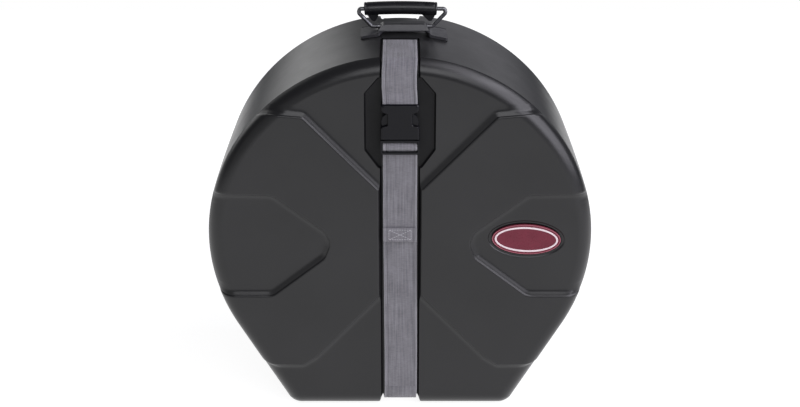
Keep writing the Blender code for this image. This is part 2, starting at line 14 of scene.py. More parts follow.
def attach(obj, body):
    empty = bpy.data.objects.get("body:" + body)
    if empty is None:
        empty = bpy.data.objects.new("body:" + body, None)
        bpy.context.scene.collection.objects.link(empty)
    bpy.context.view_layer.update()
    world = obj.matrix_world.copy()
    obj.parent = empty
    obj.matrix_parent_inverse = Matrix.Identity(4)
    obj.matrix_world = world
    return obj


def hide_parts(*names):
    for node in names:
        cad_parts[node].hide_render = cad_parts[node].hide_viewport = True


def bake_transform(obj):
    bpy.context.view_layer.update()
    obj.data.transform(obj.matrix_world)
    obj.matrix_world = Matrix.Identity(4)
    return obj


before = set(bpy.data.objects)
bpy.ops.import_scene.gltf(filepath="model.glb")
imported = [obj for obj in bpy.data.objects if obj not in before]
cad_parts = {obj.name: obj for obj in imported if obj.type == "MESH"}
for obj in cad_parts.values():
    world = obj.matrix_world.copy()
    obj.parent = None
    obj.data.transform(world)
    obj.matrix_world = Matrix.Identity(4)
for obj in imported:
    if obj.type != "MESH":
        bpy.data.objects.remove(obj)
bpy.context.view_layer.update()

MM = 0.001
H_BOTTOM = 225.4
CENTRE = Vector((0, 0, H_BOTTOM))

# ---------------------------------------------------------------- camera and light
camera_data = bpy.data.cameras.new("camera")
camera_data.lens = 67.725
camera_data.sensor_width = 36.0
camera_data.clip_end = 50
camera = bpy.data.objects.new("camera", camera_data)
camera.location = (0.0, -1.7021, 0.9923)
camera.rotation_euler = (math.radians(90 - 24.06), 0, 0)
bpy.context.scene.collection.objects.link(camera)
bpy.context.scene.camera = camera
bpy.context.scene.view_settings.view_transform = "Standard"


def area_light(name, at, aim, size, power, colour=(1, 1, 1)):
    data = bpy.data.lights.new(name, "AREA")
    data.shape = "RECTANGLE"
    data.size, data.size_y = size
    data.energy = power
    data.color = colour
    ob = bpy.data.objects.new(name, data)
    ob.location = at
    ob.rotation_euler = (Vector(aim) - Vector(at)).to_track_quat("-Z", "Y").to_euler()
    bpy.context.scene.collection.objects.link(ob)
    return ob


area_light("front_softbox", (0.2, -2.2, 1.82), (0, 0, 0.25), (1.8, 1.35), 23.0, (0.97, 0.97, 1.0))
area_light("front_left_fill", (-1.45, -1.75, 0.72), (0, 0, 0.25), (3.0, 1.2), 3.0)
area_light("front_right_fill", (1.65, -1.6, 0.85), (0, 0, 0.25), (1.5, 1.2), 6.6, (0.93, 0.92, 1.0))
area_light("right_softbox", (1.95, -0.9, 1.35), (0, 0, 0.25), (2.3, 2.2), 60.0, (0.93, 0.91, 1.0))
area_light("top_right_softbox", (1.15, -0.45, 2.3), (0, 0, 0.25), (1.5, 1.3), 19.0, (0.94, 0.92, 1.0))
area_light("back_left_softbox", (-1.5, 1.75, 1.5), (0, 0, 0.3), (2.7, 2.5), 23.0)
area_light("back_right_softbox", (1.2, 2.5, 0.95), (0, 0, 0.25), (2.4, 1.2), 3.6, (0.95, 0.94, 1.0))


world = bpy.data.worlds.new("studio")
bpy.context.scene.world = world
world.use_nodes = True
wt = world.node_tree
wt.nodes.clear()
w_out = wt.nodes.new("ShaderNodeOutputWorld")
w_mix = wt.nodes.new("ShaderNodeMixShader")
w_path = wt.nodes.new("ShaderNodeLightPath")
w_seen = wt.nodes.new("ShaderNodeBackground")
w_lit = wt.nodes.new("ShaderNodeBackground")
w_seen.inputs["Color"].default_value = (1, 1, 1, 1)
w_seen.inputs["Strength"].default_value = 1.0
w_lit.inputs["Color"].default_value = (0.9, 0.93, 1.0, 1)
w_lit.inputs["Strength"].default_value = 0.1
wt.links.new(w_path.outputs["Is Camera Ray"], w_mix.inputs["Fac"])
wt.links.new(w_lit.outputs[0], w_mix.inputs[1])
wt.links.new(w_seen.outputs[0], w_mix.inputs[2])
wt.links.new(w_mix.outputs[0], w_out.inputs["Surface"])


# ---------------------------------------------------------------- materials
class Nodes:
    """A Principled material with short ways to add the usual nodes."""

    def __init__(self, name, colour, rough, metal=0.0, **values):
        self.material = bpy.data.materials.new(name)
        self.material.use_nodes = True
        self.tree = self.material.node_tree
        self.shader = self.tree.nodes["Principled BSDF"]
        self.shader.inputs["Base Color"].default_value = (*colour, 1)
        self.shader.inputs["Roughness"].default_value = rough
        self.shader.inputs["Metallic"].default_value = metal
        for key, value in values.items():
            self.shader.inputs[key.replace("_", " ")].default_value = value

    def new(self, kind, **values):
        node = self.tree.nodes.new("ShaderNode" + kind)
        for key, value in values.items():
            setattr(node, key, value)
        return node

    def link(self, a, b):
        self.tree.links.new(a, b)

    def coords(self, attribute=None):
        if attribute:
            return self.new("Attribute", attribute_name=attribute).outputs["Vector"]
        return self.new("TexCoord").outputs["Object"]

    def noise(self, where, scale, detail=3.0, rough=0.5):
        n = self.new("TexNoise")
        n.inputs["Scale"].default_value = scale
        n.inputs["Detail"].default_value = detail
        n.inputs["Roughness"].default_value = rough
        self.link(where, n.inputs["Vector"])
        return n.outputs["Fac"]

    def ramp(self, value, low, high, a, b):
        """Maps value from low..high to a..b."""
        n = self.new("MapRange")
        for key, v in (("From Min", low), ("From Max", high), ("To Min", a), ("To Max", b)):
            n.inputs[key].default_value = v
        self.link(value, n.inputs["Value"])
        return n.outputs["Result"]

    def math(self, operation, a, b=None, c=None):
        n = self.new("Math", operation=operation)
        for socket, v in zip(n.inputs, (a, b, c)):
            if v is None:
                continue
            if isinstance(v, (int, float)):
                socket.default_value = v
            else:
                self.link(v, socket)
        return n.outputs[0]

    def mix(self, factor, a, b):
        n = self.new("Mix", data_type="RGBA")
        for name, v in (("Factor", factor), ("A", a), ("B", b)):
            sockets = [s for s in n.inputs if s.name == name and s.enabled]
            socket = sockets[0]
            if isinstance(v, tuple):
                socket.default_value = (*v, 1)
            elif isinstance(v, (int, float)):
                socket.default_value = v
            else:
                self.link(v, socket)
        return [s for s in n.outputs if s.enabled][0]

    def split(self, vector):
        n = self.new("SeparateXYZ")
        self.link(vector, n.inputs[0])
        return n.outputs

    def bump(self, height, distance, strength=1.0):
        n = self.new("Bump")
        n.inputs["Distance"].default_value = distance
        n.inputs["Strength"].default_value = strength
        self.link(height, n.inputs["Height"])
        previous = self.shader.inputs["Normal"].links
        if previous:
            self.link(previous[0].from_socket, n.inputs["Normal"])
        self.link(n.outputs["Normal"], self.shader.inputs["Normal"])

    def colour(self, socket):
        self.link(socket, self.shader.inputs["Base Color"])

    def rough(self, socket):
        self.link(socket, self.shader.inputs["Roughness"])


def shell_plastic(name, base, rough, gloss=0.42):
    """Moulded polyethylene: a fine even grain, faint clouds in its gloss, a few rubs."""
    m = Nodes(name, base, rough, Specular_IOR_Level=gloss)
    at = m.coords()
    broad = m.noise(at, 9.0, 4.0)
    grain = m.noise(at, 1100.0, 2.0)
    cloud = m.noise(at, 34.0, 5.0, 0.6)
    stretch = m.new("Mapping")
    stretch.inputs["Scale"].default_value = (22.0, 22.0, 420.0)
    stretch.inputs["Rotation"].default_value = (0.3, 0.5, 0.0)
    m.link(at, stretch.inputs["Vector"])
    rub = m.ramp(m.noise(stretch.outputs[0], 1.0, 2.0), 0.76, 0.84, 0.0, 1.0)
    m.colour(m.mix(m.ramp(broad, 0.35, 0.65, 0.0, 1.0), tuple(c * 0.85 for c in base), tuple(c * 1.18 for c in base)))
    m.rough(m.math("ADD", m.ramp(cloud, 0.3, 0.7, rough - 0.02, rough + 0.03), m.math("MULTIPLY", rub, 0.05)))
    m.bump(grain, 0.00006, 0.4)
    m.bump(cloud, 0.0003, 0.05)
    return m.material


def moulded_black(name, base, rough, gloss=0.5):
    m = Nodes(name, base, rough, Specular_IOR_Level=gloss)
    at = m.coords()
    cloud = m.noise(at, 160.0, 3.0)
    m.colour(m.mix(cloud, tuple(c * 0.8 for c in base), tuple(c * 1.25 for c in base)))
    m.rough(m.ramp(cloud, 0.3, 0.7, rough - 0.04, rough + 0.06))
    m.bump(m.noise(at, 1500.0, 2.0), 0.00008, 0.4)
    return m.material


def wire_steel():
    m = Nodes("zinc_wire", (0.15, 0.15, 0.16), 0.34, 0.9)
    at = m.coords()
    spangle = m.noise(at, 260.0, 4.0)
    m.colour(m.mix(m.ramp(spangle, 0.35, 0.7, 0.0, 1.0), (0.19, 0.19, 0.2), (0.075, 0.075, 0.082)))
    m.rough(m.ramp(spangle, 0.3, 0.7, 0.26, 0.46))
    m.bump(m.noise(at, 700.0, 3.0), 0.0001, 0.4)
    return m.material


def webbing_cloth():
    """Woven polypropylene: fine cross ribs, warp lines, a rib near each edge."""
    m = Nodes("webbing_grey", (0.2, 0.19, 0.21), 0.72, Sheen_Weight=0.12, Sheen_Roughness=0.5)
    run = m.coords("run")
    u, v, _ = m.split(run)
    warp = m.math("SINE", m.math("MULTIPLY", u, 2 * math.pi / 0.0011))
    weft = m.math("SINE", m.math("MULTIPLY", v, 2 * math.pi / 0.00085))
    twill = m.math("SINE", m.math("ADD", m.math("MULTIPLY", u, 2 * math.pi / 0.0011), m.math("MULTIPLY", v, 2 * math.pi / 0.0017)))
    side = m.math("ABSOLUTE", u)
    rib = m.math("SUBTRACT", 1.0, m.ramp(m.math("ABSOLUTE", m.math("SUBTRACT", side, 0.0158)), 0.0, 0.0011, 0.0, 1.0))
    edge = m.ramp(side, 0.0174, 0.0192, 0.0, 1.0)
    lengthwise = m.new("Mapping")
    lengthwise.inputs["Scale"].default_value = (520.0, 16.0, 1.0)
    m.link(run, lengthwise.inputs["Vector"])
    streak = m.noise(lengthwise.outputs[0], 1.0, 2.0)
    crosswise = m.new("Mapping")
    crosswise.inputs["Scale"].default_value = (170.0, 620.0, 1.0)
    m.link(run, crosswise.inputs["Vector"])
    fleck = m.noise(crosswise.outputs[0], 1.0, 3.0, 0.65)
    wide = m.noise(run, 42.0, 3.0)
    shade = m.math("ADD", m.math("MULTIPLY", streak, 0.42), m.math("ADD", m.math("MULTIPLY", fleck, 0.3), m.math("MULTIPLY", wide, 0.28)))
    body = m.mix(m.ramp(shade, 0.38, 0.63, 0.0, 1.0), (0.076, 0.073, 0.083), (0.2, 0.194, 0.214))
    body = m.mix(m.ramp(warp, -1.0, 1.0, 0.0, 0.2), body, (0.26, 0.255, 0.275))
    body = m.mix(m.ramp(rib, 0.0, 1.0, 0.0, 0.45), body, (0.085, 0.082, 0.09))
    m.colour(m.mix(m.math("MULTIPLY", edge, 0.5), body, (0.3, 0.295, 0.315)))
    m.rough(m.ramp(fleck, 0.3, 0.7, 0.62, 0.82))
    m.bump(m.math("ADD", m.math("MULTIPLY", warp, weft), m.math("MULTIPLY", twill, 0.5)), 0.00018, 0.7)
    m.bump(m.math("MULTIPLY", rib, -1.0), 0.0005, 0.7)
    m.bump(streak, 0.0005, 0.35)
    return m.material


def stitch_thread():
    m = Nodes("stitch_thread", (0.3, 0.29, 0.31), 0.7)
    at = m.coords()
    strand = m.noise(at, 1800.0, 2.0)
    m.colour(m.mix(strand, (0.24, 0.23, 0.25), (0.42, 0.41, 0.43)))
    m.rough(m.ramp(strand, 0.3, 0.7, 0.6, 0.8))
    m.bump(strand, 0.0002, 0.6)
    return m.material


def closed_foam():
    m = Nodes("lining_foam", (0.03, 0.03, 0.033), 0.92, Sheen_Weight=0.2, Sheen_Roughness=0.6)
    at = m.coords()
    cells = m.new("TexVoronoi")
    cells.inputs["Scale"].default_value = 650.0
    m.link(at, cells.inputs["Vector"])
    cloud = m.noise(at, 60.0, 4.0)
    m.colour(m.mix(cloud, (0.022, 0.022, 0.025), (0.05, 0.05, 0.054)))
    m.rough(m.ramp(cloud, 0.3, 0.7, 0.86, 0.98))
    m.bump(cells.outputs["Distance"], 0.0003, 0.6)
    return m.material


def badge_enamel():
    m = Nodes("badge_red", (0.12, 0.014, 0.028), 0.3, Specular_IOR_Level=0.25)
    at = m.coords()
    cloud = m.noise(at, 70.0, 3.0)
    m.colour(m.mix(cloud, (0.095, 0.01, 0.021), (0.15, 0.018, 0.035)))
    m.rough(m.ramp(m.noise(at, 350.0, 3.0), 0.3, 0.7, 0.24, 0.36))
    m.bump(cloud, 0.0004, 0.15)
    return m.material


def badge_rim():
    m = Nodes("badge_pale", (0.66, 0.56, 0.58), 0.4)
    at = m.coords()
    cloud = m.noise(at, 220.0, 3.0)
    m.colour(m.mix(cloud, (0.56, 0.46, 0.48), (0.74, 0.64, 0.66)))
    m.rough(m.ramp(cloud, 0.3, 0.7, 0.34, 0.48))
    return m.material


# Painted highlight: a lighter pink line round the badge plate's rounded outer edge, standing in for the light that edge
# catches.
def badge_edge_highlight():
    m = Nodes("badge_edge_highlight", (0.3, 0.09, 0.12), 0.4)
    at = m.coords()
    cloud = m.noise(at, 220.0, 3.0)
    m.colour(m.mix(cloud, (0.24, 0.065, 0.09), (0.36, 0.11, 0.14)))
    m.rough(m.ramp(cloud, 0.3, 0.7, 0.34, 0.48))
    return m.material


SHELL = shell_plastic("shell_charcoal", (0.008, 0.008, 0.0086), 0.3)
# Painted shade: a darker, less glossy copy of the shell plastic for the floor of the octagon pocket round the buckle,
# standing in for the shade in that recess.
POCKET = shell_plastic("pocket_painted_shade", (0.006, 0.006, 0.0066), 0.42, 0.17)
INSIDE = shell_plastic("lid_charcoal", (0.008, 0.008, 0.0086), 0.33)
BLACK = moulded_black("bracket_black", (0.018, 0.018, 0.021), 0.36, 0.54)
BUCKLE = moulded_black("buckle_black", (0.005, 0.005, 0.0065), 0.16, 0.16)
GRIP = moulded_black("grip_vinyl", (0.004, 0.004, 0.0055), 0.3, 0.4)
STEEL = wire_steel()
WEBBING = webbing_cloth()
THREAD = stitch_thread()
FOAM = closed_foam()
RED = badge_enamel()
SILVER = badge_rim()
EDGE_HIGHLIGHT = badge_edge_highlight()


# ---------------------------------------------------------------- shape helpers
def place(name, bm, mats, body, replaced=(), smooth=35):
    """A piece from a bmesh in millimetres, riding on a body."""
    ob = raw(name, bm)
    return dress(ob, mats, body, replaced, smooth)


def raw(name, bm, fix=True):
    if fix:
        bmesh.ops.recalc_face_normals(bm, faces=bm.faces)
    bmesh.ops.transform(bm, matrix=Matrix.Scale(MM, 4) @ Matrix.Translation(CENTRE), verts=bm.verts)
    mesh = bpy.data.meshes.new(name)
    bm.to_mesh(mesh)
    bm.free()
    ob = bpy.data.objects.new(name, mesh)
    bpy.context.scene.collection.objects.link(ob)
    return ob


def dress(ob, mats, body, replaced=(), smooth=35, weighted=True):
    mats = mats if isinstance(mats, (list, tuple)) else [mats]
    ob.data.materials.clear()
    for m in mats:
        ob.data.materials.append(m)
    ob.data.shade_smooth()
    ob.data.set_sharp_from_angle(angle=math.radians(smooth))
    if weighted:
        w = ob.modifiers.new("weighted", "WEIGHTED_NORMAL")
        w.keep_sharp = True
        w.weight = 60
    if body:
        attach(ob, body)
    if replaced:
        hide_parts(*([replaced] if isinstance(replaced, str) else replaced))
    return ob


def settle(ob):
    """Applies the object's modifiers."""
    graph = bpy.context.evaluated_depsgraph_get()
    mesh = bpy.data.meshes.new_from_object(ob.evaluated_get(graph))
    ob.modifiers.clear()
    old = ob.data
    ob.data = mesh
    bpy.data.meshes.remove(old)
    return ob


def cut(ob, others, operation="DIFFERENCE"):
    """Cuts each of the others from ob, or joins them to it, and removes them."""
    for other in others:
        m = ob.modifiers.new("cut", "BOOLEAN")
        m.operation = operation
        m.object = other
        m.solver = "EXACT"
    settle(ob)
    for other in others:
        bpy.data.objects.remove(other, do_unlink=True)
    return ob


def bevel(ob, width, segments=2, angle=30):
    b = ob.modifiers.new("bevel", "BEVEL")
    b.width = width * MM
    b.segments = segments
    b.limit_method = "ANGLE"
    b.angle_limit = math.radians(angle)
    b.use_clamp_overlap = True
    b.harden_normals = False
    return settle(ob)


def loft(rings):
    bm = bmesh.new()
    rows = [[bm.verts.new(p) for p in ring] for ring in rings]
    n = len(rows[0])
    for a, b in zip(rows, rows[1:]):
        for i in range(n):
            j = (i + 1) % n
            bm.faces.new((a[i], a[j], b[j], b[i]))
    bm.faces.new(rows[0][::-1])
    bm.faces.new(rows[-1])
    return bm


def box(lo, hi):
    bm = bmesh.new()
    bmesh.ops.create_cube(bm, size=1)
    size = Vector(hi) - Vector(lo)
    for v in bm.verts:
        v.co = Vector(lo) + Vector([(c + 0.5) * s for c, s in zip(v.co, size)])
    return bm


def cylinder(radius, depth, centre, axis, segments=32, radius2=None):
    bm = bmesh.new()
    bmesh.ops.create_cone(
        bm, cap_ends=True, segments=segments, radius1=radius, radius2=radius if radius2 is None else radius2, depth=depth
    )
    turn = Vector((0, 0, 1)).rotation_difference(Vector(axis).normalized()).to_matrix().to_4x4()
    bmesh.ops.transform(bm, matrix=Matrix.Translation(Vector(centre)) @ turn, verts=bm.verts)
    return bm


def prism_y(points, y0, y1):
    return loft([[(x, y, z) for x, z in points] for y in (y0, y1)])


def prism_x(points, half):
    return loft([[(x, y, z) for y, z in points] for x in (-half, half)])


def rounded(points, radii, steps=8):
    out = []
    n = len(points)
    if isinstance(radii, (int, float)):
        radii = [radii] * n
    for i, (p, rad) in enumerate(zip(points, radii)):
        p = Vector(p)
        if not rad:
            out.append(tuple(p))
            continue
        a = (Vector(points[i - 1]) - p).normalized()
        b = (Vector(points[(i + 1) % n]) - p).normalized()
        half = a.angle(b) / 2
        middle = p + (a + b).normalized() * rad / math.sin(half)
        u = p + a * rad / math.tan(half) - middle
        v = p + b * rad / math.tan(half) - middle
        whole = u.angle(v)
        for k in range(steps + 1):
            t = k / steps
            out.append(tuple(middle + (u * math.sin((1 - t) * whole) + v * math.sin(t * whole)) / math.sin(whole)))
    return out


def grown(points, d):
    area = sum(a[0] * b[1] - b[0] * a[1] for a, b in zip(points, points[1:] + points[:1]))
    d = d if area > 0 else -d
    out = []
    n = len(points)
    for i in range(n):
        p, q, r = (Vector(points[(i + k) % n]) for k in (-1, 0, 1))
        e, f = (q - p).normalized(), (r - q).normalized()
        m = Vector((e.y, -e.x)) + Vector((f.y, -f.x))
        m.normalize()
        out.append(tuple(q + m * d / max(0.3, m.dot(Vector((e.y, -e.x))))))
    return out


def mirrored(points):
    return [(-x, z) for x, z in points][::-1]


# ---------------------------------------------------------------- dimensions
R_FRONT, DRAFT, SIDE, R_CORNER = 227.0, 4.2, math.radians(60.3), 16.0
Y_FACE, Y_ROUND, Y_RIM, WALL, R_ROUND = -103.0, -85.0, 88.0, 4.2, 18.0
R_LID, H_LID, Y_LID, Y_LID_ROUND, Y_BACK, R_LID_ROUND = 220.9, 223.4, 88.6, 93.0, 108.0, 15.0
R_SKIRT, SKIRT, Y_SKIRT = 218.1, 3.5, 66.5
RECESS, CHANNEL, CHANNEL_HALF = 4.7, 6.3, 24.3
Z_TOP_CHANNEL, Z_REAR_CHANNEL, Z_LOW_CHANNEL = 223.8, 215.4, -217.0
Y_PAD = (-15.0, 73.3)
STRAP, WEB = 39.6, 1.6
LIFT = WEB / 2 + 0.3
Y_HANDLE = 14.2
X_BRACKET, X_BAIL, X_GRIP = 4.9, 2.5, 0.75
Z_PIVOT, WIRE, GRIP_R, GRIP_HALF, Z_GRIP, GRIP_ARCH = 231.1, 2.4, 7.8, 42.8, 252.4, 1.4
FOOT_HALF, SCREW_X, SCREW_Y = 51.5, 41.8, 12.0
Z_MOUTH, Z_BUCKLE = 133.2, 176.6
EMBLEM = (149.0, 4.7)


def radius_at(y):
    t = max(0.0, (y - Y_ROUND) / (Y_RIM - Y_ROUND))
    return R_FRONT - DRAFT * t**1.6


def outline(r, hb, rc, arc=160, corner=10):
    s, c = math.sin(SIDE), math.cos(SIDE)
    cz = -hb + rc
    cx = (r - rc + cz * c) / s
    low = math.atan2(-c, s)
    points = [
        (cx + rc * math.cos(a), cz + rc * math.sin(a))
        for a in (-math.pi / 2 + (low + math.pi / 2) * i / corner for i in range(corner))
    ]
    sweep = math.pi - 2 * low
    points += [
        (r * math.cos(low + sweep * i / arc), r * math.sin(low + sweep * i / arc)) for i in range(arc + 1)
    ]
    return points + [(-x, z) for x, z in points[corner - 1 :: -1]]


def ring(y, r, hb, rc, **kw):
    return [(x, y, z) for x, z in outline(r, hb, rc, **kw)]


# ---------------------------------------------------------------- moulded relief
TOP_SECTOR = [
    (8, 55.05), (110, 162), (154, 166), (262, 166), (262, 262), (8, 262),
]
SIDE_POCKET = [(262, 62), (150, 60), (89, 12.5), (84.5, 0), (91, -17), (153, -66.2), (262, -66.4)]
LOW_SECTOR = [
    (8, -54.65), (8, -262), (262, -262), (262, -166), (118, -166.5), (101.5, -155.5),
]
TOP_RADII = [0, 9, 14, 0, 0, 0]
SIDE_RADII = [0, 15, 13, 13, 13, 15, 0]
LOW_RADII = [0, 0, 0, 0, 12, 12]
OCTAGON = [(24.8, 95), (41, 118), (41, 187), (24.8, 206.5), (-24.8, 206.5), (-41, 187), (-41, 118), (-24.8, 95)]


FIELD_WALL = [
    (6.6, 0.12), (4.6, -0.05), (4.0, -0.13), (3.4, -0.33), (2.9, -0.66), (2.55, -1.1), (2.3, -1.55), (1.95, -1.85),
    (1.3, -2.1), (0.2, -2.62), (-1.0, -3.25), (-2.2, -3.86), (-3.4, -4.28), (-4.9, -4.52), (-7.0, -4.64), (-11.2, -4.69),
    (-11.6, -4.74), (-11.8, -6.2),
]


def finer(points, like, span=3.0):
    """A polygon with its sides divided as the sides of another one need."""
    out = []
    for p, q, a, b in zip(points, points[1:] + points[:1], like, like[1:] + like[:1]):
        n = max(1, round(math.dist(a, b) / span))
        out += [(p[0] + (q[0] - p[0]) * i / n, p[1] + (q[1] - p[1]) * i / n) for i in range(n)]
    return out


def joined(parts):
    whole = bmesh.new()
    for bm in parts:
        mesh = bpy.data.meshes.new("part")
        bm.to_mesh(mesh)
        bm.free()
        whole.from_mesh(mesh)
        bpy.data.meshes.remove(mesh)
    return whole


def field_solids(y_face, scale, out):
    parts = []
    for field, radii in ((TOP_SECTOR, TOP_RADII), (SIDE_POCKET, SIDE_RADII), (LOW_SECTOR, LOW_RADII)):
        for hand in (1, -1):
            pts, rad = (field, radii) if hand > 0 else (mirrored(field), radii[::-1])
            pts = rounded(pts, rad, steps=6)
            parts.append(
                loft([[(x, y_face + out * h * scale, z) for x, z in finer(grown(pts, o), pts)] for o, h in FIELD_WALL])
            )
    return joined(parts)


def off_flat(x, z, r0, h0):
    """Outward direction from the D of the flat face, and how far outside it a point is."""
    hand = -1 if x < 0 else 1
    x = abs(x)
    s, c = math.sin(SIDE), math.cos(SIDE)
    rc = 0.5
    cz = -h0 + rc
    cx = (r0 - rc + cz * c) / s
    dx, dz = x - cx, z - cz
    if math.atan2(z, x) >= math.atan2(-c, s):
        r = math.hypot(x, z)
        return hand * x / r, z / r, r - r0
    if dx * c + dz * s > 0:
        return hand * s, -c, x * s - z * c - r0
    if dx > 0:
        d = math.hypot(dx, dz)
        return hand * dx / d, dz / d, d - rc
    return 0.0, -1.0, -z - h0


def crowned(name, r, h, rnd, y_face, out, depth, more):
    """A body whose face carries the sunk fields right over its rounded rim: the rim is
    laid out flat, the fields are cut, and then the rim is bent round to the sides."""
    r0, h0 = r - rnd, h - rnd
    reach = rnd * math.pi / 2
    steps = 14

    def flat(w, y):
        return ring(y, r0 + w, h0 + w, 0.5 + w)

    body = raw(name, loft([flat(reach * k / steps, y_face) for k in range(steps + 1)] + [flat(reach, y_face - out * 8)] + more))
    y_floor = y_face - out * depth
    rings = [flat(reach * k / steps, y_floor) for k in range(steps)] + [flat(reach - 0.4, y_floor)]
    rings += [flat(reach - 0.35, y_face + out), flat(reach + 5, y_face + out), flat(reach + 5, y_face - out * 14)]
    fields = raw("cut_fields", field_solids(y_face, depth / 4.7, out))
    cut(fields, [raw("cut_floor", loft(rings))])
    cut(body, [fields])
    bm = bmesh.new()
    bm.from_mesh(body.data)
    edge = []
    for v in bm.verts:
        x, y, z = v.co / MM - CENTRE
        lift = out * (y_face - y)
        if abs(lift - rnd) < 0.01:
            edge.append(v)
        if lift > 8.5:
            continue
        nx, nz, w = off_flat(x, z, r0, h0)
        if w <= 0.001:
            continue
        if w > reach - 0.05:
            w = reach
            edge.append(v)
        a = min(w / rnd, math.pi / 2)
        sunk_by = lift * max(0.0, 1 - (a / (math.pi / 2)) ** 2.6)
        along = rnd * math.sin(a) - sunk_by * math.sin(a) - w
        v.co = (
            Vector((x + nx * along, y_face - out * (rnd * (1 - math.cos(a)) + sunk_by * math.cos(a)), z + nz * along)) + CENTRE
        ) * MM
    bmesh.ops.remove_doubles(bm, verts=edge, dist=0.000004)
    bmesh.ops.dissolve_degenerate(bm, edges=bm.edges, dist=0.00002)
    bm.to_mesh(body.data)
    bm.free()
    return body


def channel_core(inset):
    y0, y1 = Y_FACE + CHANNEL + inset, Y_BACK - CHANNEL - inset
    low, top, rear = Z_LOW_CHANNEL + inset, Z_TOP_CHANNEL - inset, Z_REAR_CHANNEL - inset
    pad = (Y_PAD[0] + inset, Y_PAD[1] - inset)
    front, back = 14.0 - 0.5 * inset, 12.0 - 0.5 * inset
    return rounded(
        [(y0, low), (y0, top), (pad[0], top), (pad[0], 260), (pad[1], 260), (pad[1], rear), (y1, rear), (y1, low)],
        [front, front, 0, 0, 0, 0, back, back],
        steps=12,
    )


def channel_slab(half, inset):
    slab = raw("cut_slab", box((-half, -125, -245), (half, 125, 245)))
    core = raw("cut_core", prism_x(channel_core(inset), half + 6))
    return cut(slab, [core])


def channel_cut():
    """The strap channel round the shell, its walls sloping out from the strap's edges."""
    walls = [
        (19.9, 0.0), (20.1, -0.2), (20.5, -2.2), (21.2, -2.4), (22.0, -1.1), (23.2, 1.5), (24.6, 4.6), (25.2, 5.5),
        (25.9, 6.05), (26.8, 6.28), (27.8, 6.4), (28.4, 7.2), (33.0, 13.0),
    ]
    sides = [(-x, out) for x, out in walls[::-1]] + walls
    slab = raw("cut_slab", box((-32.0, -125, -245), (32.0, 125, 245)))
    core = raw("cut_core", loft([[(x, y, z) for y, z in channel_core(-out)] for x, out in sides]))
    return cut(slab, [core])


# ---------------------------------------------------------------- front shell
rings = [ring(Y_ROUND, R_FRONT, H_BOTTOM, R_ROUND + 0.5)]
for k in range(1, 13):
    y = Y_ROUND + (Y_RIM - 0.5 - Y_ROUND) * k / 12
    rings.append(ring(y, radius_at(y), H_BOTTOM, R_ROUND + 0.5 - k / 5))
rings.append(ring(Y_RIM, radius_at(Y_RIM) - 0.5, H_BOTTOM - 0.5, R_CORNER))
base = crowned("base_shell_moulding", R_FRONT, H_BOTTOM, R_ROUND, Y_FACE, -1, RECESS, rings)
cut(base, [channel_cut()])
funnel = [
    (1.2, -4.4), (0.05, -4.715), (-0.3, -5.3), (-1.2, -7.2), (-1.8, -8.0), (-2.6, -8.3), (-4.5, -8.45), (-14.5, -8.85), (-16.5, -8.9),
]
rings = []
for out, h in funnel:
    rings.append([(x, Y_FACE - h, z) for x, z in rounded(grown(OCTAGON, out), max(0.8, 5 + out), steps=6)])
cut(base, [raw("cut_pocket", loft(rings))])

inner_round = R_ROUND - WALL
y_in = Y_FACE + RECESS + WALL
rings = []
for k in range(7):
    a = math.asin((Y_ROUND - y_in) / inner_round) * (1 - k / 6)
    inset = inner_round * (1 - math.cos(a)) + WALL
    rings.append(ring(Y_ROUND - inner_round * math.sin(a), R_FRONT - inset, H_BOTTOM - inset, R_CORNER - 0.6 * inset))
for y in (-45.0, 0.0, 45.0, Y_RIM + 2.0):
    rings.append(ring(y, radius_at(y) - WALL, H_BOTTOM - WALL, R_CORNER - 0.6 * WALL))
cavity = raw("cut_cavity", loft(rings))
cut(cavity, [channel_slab(CHANNEL_HALF + WALL, WALL), raw("cut_behind", box((-45.5, -105, 90), (45.5, Y_FACE + CHANNEL + WALL, 212)))])
SLOT_HALF = STRAP / 2 + 1.1
cutters = [
    cavity,
    raw("cut_front_slot", box((-SLOT_HALF, -21.2, 212), (SLOT_HALF, Y_PAD[0], 232))),
    raw("cut_rear_slot", box((-SLOT_HALF, 66, Z_REAR_CHANNEL), (SLOT_HALF, 75, Z_REAR_CHANNEL + 3.2))),
]


def radial(angle, r, y):
    return Vector((math.sin(angle) * r, y, math.cos(angle) * r))


SCREWS = [
    (tag, math.asin((X_BRACKET + sx * SCREW_X) / R_FRONT), Y_HANDLE + sy * SCREW_Y)
    for tag, sx, sy in (("1", -1, -1), ("2", 1, -1), ("3", -1, 1), ("4", 1, 1))
]
for tag, angle, y in SCREWS:
    cutters.append(raw("cut_hole", cylinder(2.5, 14, radial(angle, 223, y), radial(angle, 1, 0), 20)))
cut(base, cutters)


EMBLEM_TURN = math.radians(-2.4)


def ellipse(a, b, n=96):
    c, s = math.cos(EMBLEM_TURN), math.sin(EMBLEM_TURN)
    points = [(a * math.cos(2 * math.pi * i / n), b * math.sin(2 * math.pi * i / n)) for i in range(n)]
    return [(EMBLEM[0] + x * c - z * s, EMBLEM[1] + x * s + z * c) for x, z in points]


Y_FIELD = Y_FACE + RECESS
seat = [
    (3.2, -0.6), (1.9, 0.0), (1.3, 0.12), (0.7, 0.45), (0.2, 0.95), (-0.4, 1.3), (-1.2, 1.4), (-4.0, 1.42),
]
cut(base, [raw("cut_badge", loft([[(x, Y_FIELD + y, z) for x, z in ellipse(44.6 + o, 23.2 + o)] for o, y in seat]))])
cut(base, [raw("cut_badge_gap", loft([[(x, Y_FIELD + y, z) for x, z in ellipse(42.3, 21.0)] for y in (0.6, 2.9)]))])
dress(base, [SHELL, POCKET], "case", "base_shell", smooth=28)
# The floor of the octagon pocket takes the darker plastic: painted shade in the recess round the buckle.
for face in base.data.polygons:
    x, y, z = face.center / MM - CENTRE
    if abs(x) < 41 and 94 < z < 208 and Y_FACE + 5.0 < y < Y_FACE + 9.2:
        face.material_index = 1

